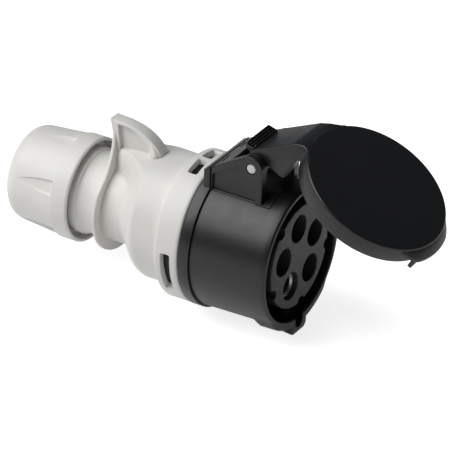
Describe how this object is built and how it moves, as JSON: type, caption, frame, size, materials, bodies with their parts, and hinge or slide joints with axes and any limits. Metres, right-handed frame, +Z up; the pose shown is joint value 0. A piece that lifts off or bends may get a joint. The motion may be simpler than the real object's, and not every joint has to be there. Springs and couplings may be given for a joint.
{
  "type": "industrial socket",
  "caption": "Trailing industrial socket with a hinged cover, round shell with a key slot, pin contacts, scooped rear housing with finger guard and hook, and a cable gland nut.",
  "frame": {"origin": "The centre of the contact carrier's face, which the plug's face meets.", "axes": "+X points out of the socket along its axis, +Z is up towards the hinge of the cover, +Y is to the right seen from the front."},
  "size_m": [0.2247, 0.0734, 0.1084],
  "materials": {
    "black_plastic": "fine satin moulding",
    "grey_plastic": "fine satin moulding",
    "insulator": "plain moulding",
    "white_plastic": "natural nylon",
    "seal_rubber": "matt",
    "contact_brass": "turned",
    "screw_steel": "plated",
    "pin_metal": "plain",
    "spring_steel": "drawn wire"
  },
  "bodies": {
    "connector": {"front_shell": "black_plastic", "coupling_ring": "black_plastic", "contact_carrier": "insulator", "contact_sleeve_1": "contact_brass", "contact_sleeve_2": "contact_brass", "contact_sleeve_3": "contact_brass", "contact_sleeve_4": "contact_brass", "contact_sleeve_5": "contact_brass", "terminal_screw_1": "screw_steel", "terminal_screw_2": "screw_steel", "terminal_screw_3": "screw_steel", "terminal_screw_4": "screw_steel", "terminal_screw_5": "screw_steel", "rear_housing": "grey_plastic", "housing_seal": "seal_rubber", "gland_seal": "seal_rubber", "clamp_collet": "white_plastic", "hinge_pin": "pin_metal", "lid_spring": "spring_steel"},
    "cover": {"lid": "black_plastic", "lid_gasket": "seal_rubber"},
    "nut_carrier": {"slip_ring": "white_plastic"},
    "nut": {"gland_nut": "grey_plastic"}
  },
  "joints": [
    {"name": "cover_hinge", "type": "hinge", "parent": "connector", "child": "cover", "pos_m": [-0.018, 0, 0.0485], "axis": [0, -1, 0], "range_deg": [-59.5, 50], "deforming": ["lid_spring"]},
    {"name": "nut_slide", "type": "slide", "parent": "connector", "child": "nut_carrier", "axis": [-1, 0, 0], "range_m": [0, 0.00451]},
    {"name": "nut_turn", "type": "hinge", "parent": "nut_carrier", "child": "nut", "pos_m": [-0.13, 0, 0], "axis": [-1, 0, 0], "range_deg": [0, 540]}
  ],
  "couplings": [
    {"joint": "nut_slide", "follows": "nut_turn", "m_per_rad": 0.00047746}
  ]
}
